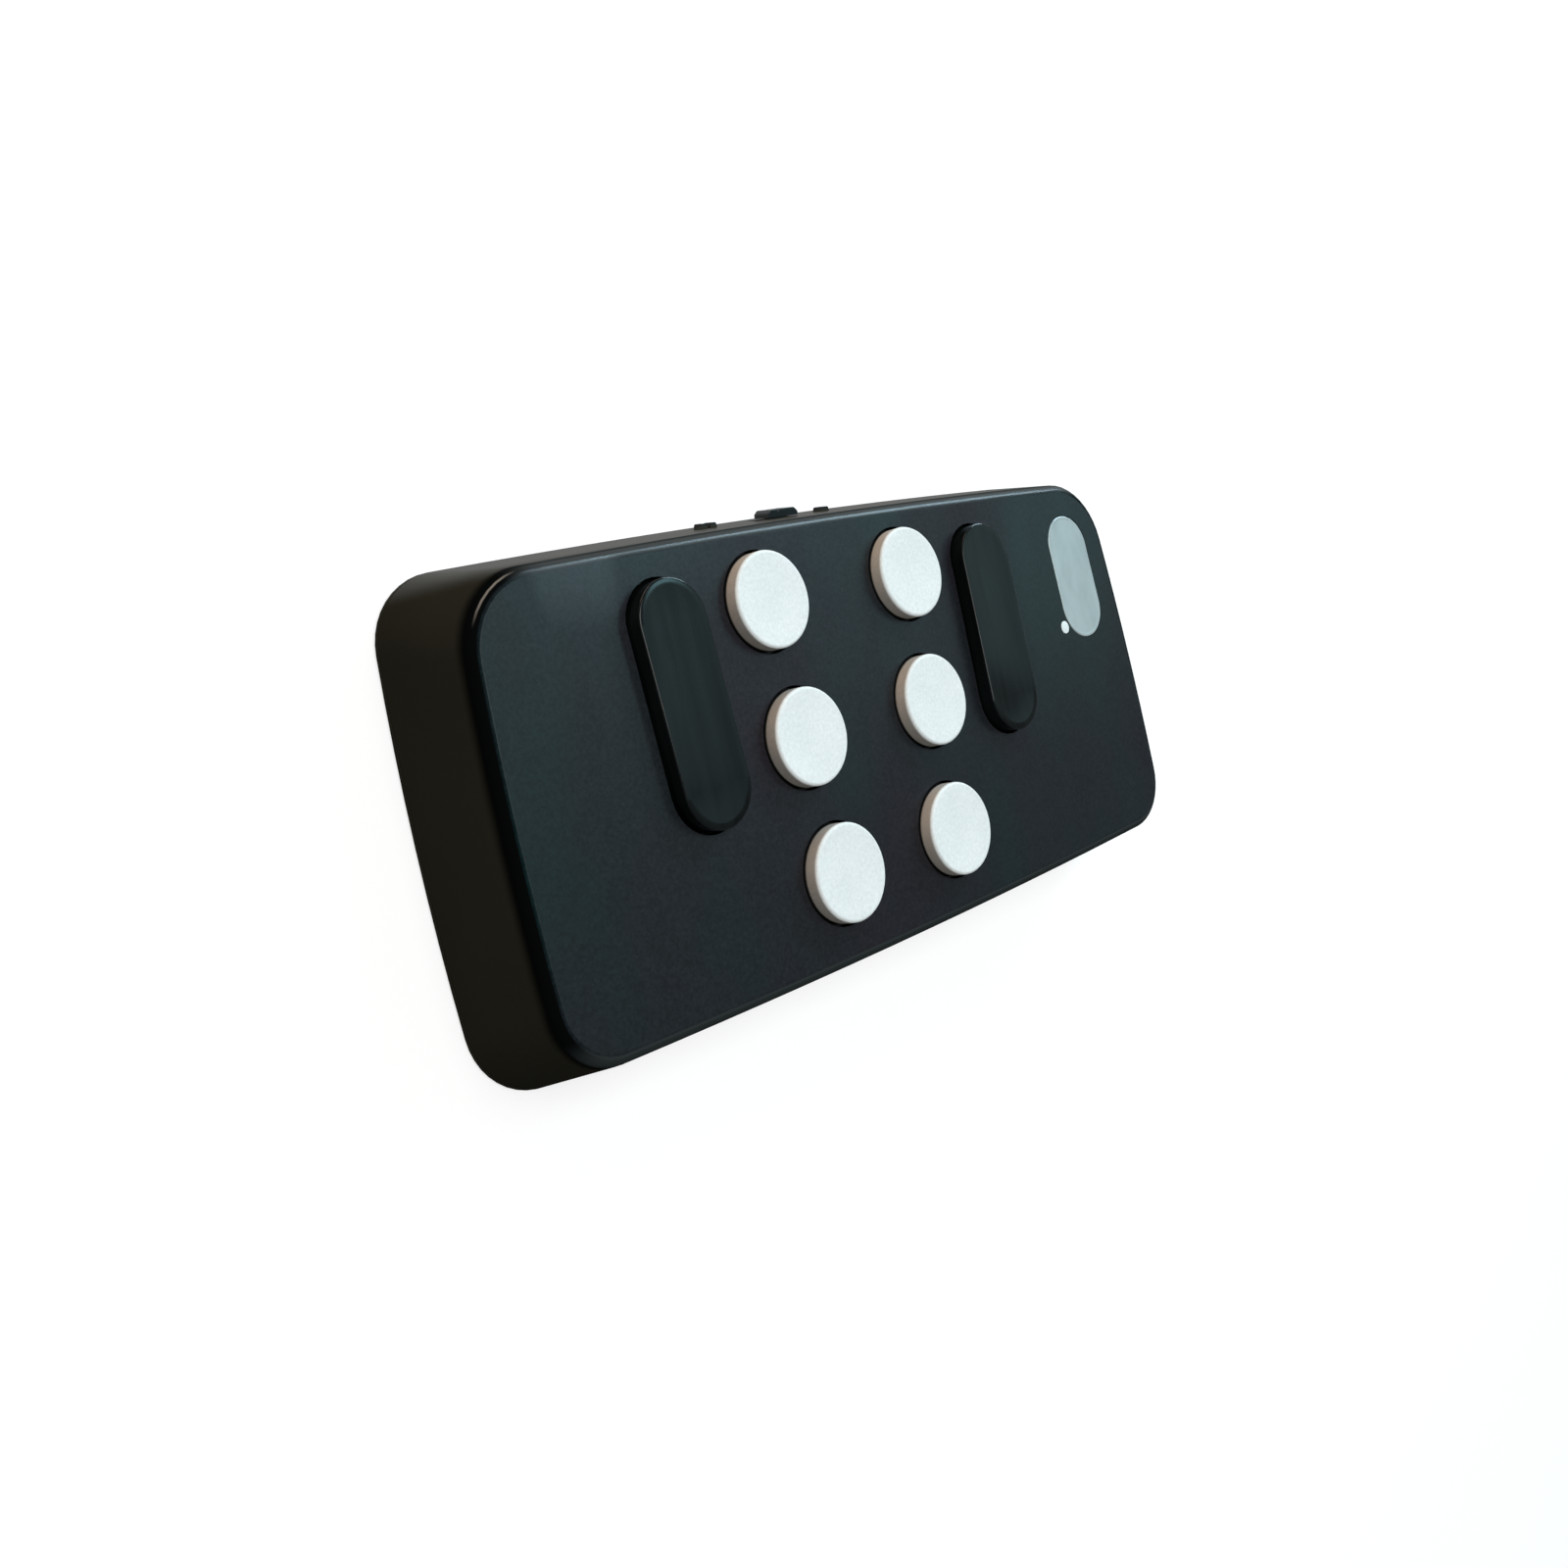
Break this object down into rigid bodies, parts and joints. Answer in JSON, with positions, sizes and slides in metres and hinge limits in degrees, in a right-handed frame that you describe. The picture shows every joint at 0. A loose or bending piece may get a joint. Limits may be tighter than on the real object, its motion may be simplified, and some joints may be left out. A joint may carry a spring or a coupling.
{
  "type": "braille keyboard",
  "caption": "Pocket braille keyboard: a flat rounded case with round dot keys in two columns, long side keys, a power slider on one edge and a charging port.",
  "frame": {"origin": "middle of the rear cover's flat back", "axes": "+X along the case towards the end with the badge, +Y towards the edge with the power slider, +Z out of the face with the keys"},
  "size_m": [0.1058, 0.0518, 0.0144],
  "materials": {
    "shell_black": "satin with a fine grain",
    "key_white": "matt with a fine grain",
    "key_gloss_black": "gloss",
    "knob_black": "satin",
    "badge_silver": "satin",
    "light_white": "satin",
    "ivory_plastic": "matt",
    "dark_plastic": "matt",
    "board_green": "satin",
    "tan_ceramic": "matt",
    "steel": "satin",
    "dome_steel": "polished",
    "cell_foil": "satin",
    "adhesive_pad": "matt",
    "lead_red": "satin",
    "lead_black": "satin"
  },
  "bodies": {
    "case": {"front_shell": "shell_black", "rear_cover": "shell_black", "badge": "badge_silver", "light_pipe": "light_white", "status_led": "ivory_plastic", "case_screws": "steel", "board_screws": "steel", "circuit_board": "board_green", "radio_module": "steel", "main_chip": "dark_plastic", "charge_chip": "dark_plastic", "board_components": "tan_ceramic", "vibration_motor": "steel", "battery_cell": "cell_foil", "battery_pad": "adhesive_pad", "battery_plug": "ivory_plastic", "battery_socket": "ivory_plastic", "battery_lead_red": "lead_red", "battery_lead_black": "lead_black", "usb_shell": "steel", "usb_tongue": "dark_plastic", "power_switch_body": "steel", "guide_bushes": "ivory_plastic", "switch_base_left_top": "dark_plastic", "switch_base_left_middle": "dark_plastic", "switch_base_left_bottom": "dark_plastic", "switch_base_right_top": "dark_plastic", "switch_base_right_middle": "dark_plastic", "switch_base_right_bottom": "dark_plastic", "switch_base_left_long": "dark_plastic", "switch_base_right_long": "dark_plastic", "snap_dome_left_top": "dome_steel", "snap_dome_left_middle": "dome_steel", "snap_dome_left_bottom": "dome_steel", "snap_dome_right_top": "dome_steel", "snap_dome_right_middle": "dome_steel", "snap_dome_right_bottom": "dome_steel", "snap_dome_left_long": "dome_steel", "snap_dome_right_long": "dome_steel"},
    "left_top_key": {"key_left_top": "key_white", "plunger_left_top": "ivory_plastic"},
    "left_middle_key": {"key_left_middle": "key_white", "plunger_left_middle": "ivory_plastic"},
    "left_bottom_key": {"key_left_bottom": "key_white", "plunger_left_bottom": "ivory_plastic"},
    "right_top_key": {"key_right_top": "key_white", "plunger_right_top": "ivory_plastic"},
    "right_middle_key": {"key_right_middle": "key_white", "plunger_right_middle": "ivory_plastic"},
    "right_bottom_key": {"key_right_bottom": "key_white", "plunger_right_bottom": "ivory_plastic"},
    "left_long_key": {"key_left_long": "key_gloss_black", "plunger_left_long": "ivory_plastic"},
    "right_long_key": {"key_right_long": "key_gloss_black", "plunger_right_long": "ivory_plastic"},
    "power_slider": {"power_knob": "knob_black", "power_switch_lever": "dark_plastic"}
  },
  "joints": [
    {"name": "left_top_press", "type": "slide", "parent": "case", "child": "left_top_key", "axis": [0, 0, -1], "range_m": [0, 0.0008], "stiffness_N_per_m": 500, "springref_m": -0.0006, "deforming": ["snap_dome_left_top"]},
    {"name": "left_middle_press", "type": "slide", "parent": "case", "child": "left_middle_key", "axis": [0, 0, -1], "range_m": [0, 0.0008], "stiffness_N_per_m": 500, "springref_m": -0.0006, "deforming": ["snap_dome_left_middle"]},
    {"name": "left_bottom_press", "type": "slide", "parent": "case", "child": "left_bottom_key", "axis": [0, 0, -1], "range_m": [0, 0.0008], "stiffness_N_per_m": 500, "springref_m": -0.0006, "deforming": ["snap_dome_left_bottom"]},
    {"name": "right_top_press", "type": "slide", "parent": "case", "child": "right_top_key", "axis": [0, 0, -1], "range_m": [0, 0.0008], "stiffness_N_per_m": 500, "springref_m": -0.0006, "deforming": ["snap_dome_right_top"]},
    {"name": "right_middle_press", "type": "slide", "parent": "case", "child": "right_middle_key", "axis": [0, 0, -1], "range_m": [0, 0.0008], "stiffness_N_per_m": 500, "springref_m": -0.0006, "deforming": ["snap_dome_right_middle"]},
    {"name": "right_bottom_press", "type": "slide", "parent": "case", "child": "right_bottom_key", "axis": [0, 0, -1], "range_m": [0, 0.0008], "stiffness_N_per_m": 500, "springref_m": -0.0006, "deforming": ["snap_dome_right_bottom"]},
    {"name": "left_long_press", "type": "slide", "parent": "case", "child": "left_long_key", "axis": [0, 0, -1], "range_m": [0, 0.0008], "stiffness_N_per_m": 500, "springref_m": -0.0006, "deforming": ["snap_dome_left_long"]},
    {"name": "right_long_press", "type": "slide", "parent": "case", "child": "right_long_key", "axis": [0, 0, -1], "range_m": [0, 0.0008], "stiffness_N_per_m": 500, "springref_m": -0.0006, "deforming": ["snap_dome_right_long"]},
    {"name": "power_slide", "type": "slide", "parent": "case", "child": "power_slider", "axis": [-1, 0, 0], "range_m": [0, 0.003]}
  ]
}
